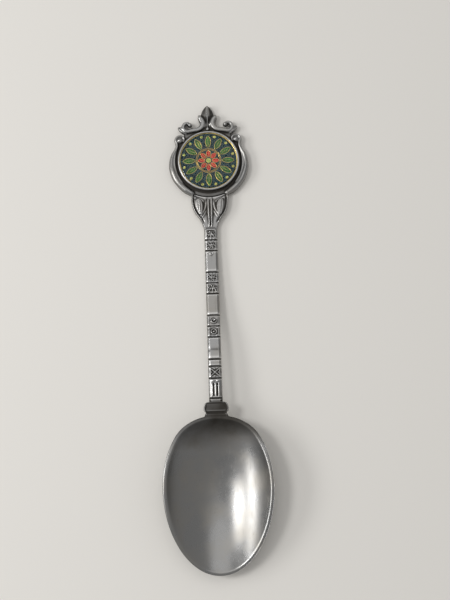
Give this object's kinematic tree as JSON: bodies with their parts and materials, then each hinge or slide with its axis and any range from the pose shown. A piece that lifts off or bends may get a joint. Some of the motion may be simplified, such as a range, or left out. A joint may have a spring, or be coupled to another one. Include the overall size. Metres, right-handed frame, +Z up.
{
  "type": "souvenir spoon",
  "caption": "Small decorative spoon with an oval bowl, a stem of cross-grooved panels, and a cast scrollwork crest that holds a round enamel badge under a clear dome.",
  "frame": {"origin": "on the supporting surface, half way along the spoon and on its centre line", "axes": "+X across the spoon to the right as seen from above, +Y from the bowl to the crest, +Z up out of the bowl"},
  "size_m": [0.0256, 0.113, 0.0064],
  "materials": {
    "spoon_blank": "satin silver plate with dark patina in the recesses",
    "crest_frame": "satin silver plate with dark patina in the recesses",
    "crest_solder": "dull soft solder",
    "badge_cup": "bright silver plate",
    "badge_adhesive": "cured clear glue",
    "badge_plate": "gilt wires",
    "enamel_ground": "dark teal soft enamel",
    "enamel_leaves": "green soft enamel",
    "enamel_ribbon": "red soft enamel",
    "enamel_stem": "dark brown soft enamel",
    "enamel_flowers": "yellow green soft enamel",
    "badge_lens": "clear gloss dome"
  },
  "bodies": {
    "root": {"spoon_blank": "spoon_blank", "crest_frame": "crest_frame", "crest_solder": "crest_solder", "badge_cup": "badge_cup", "badge_adhesive": "badge_adhesive", "badge_plate": "badge_plate", "enamel_ground": "enamel_ground", "enamel_ribbon": "enamel_ribbon", "enamel_stem": "enamel_stem", "enamel_leaves": "enamel_leaves", "enamel_flowers": "enamel_flowers", "badge_lens": "badge_lens"}
  },
  "joints": []
}
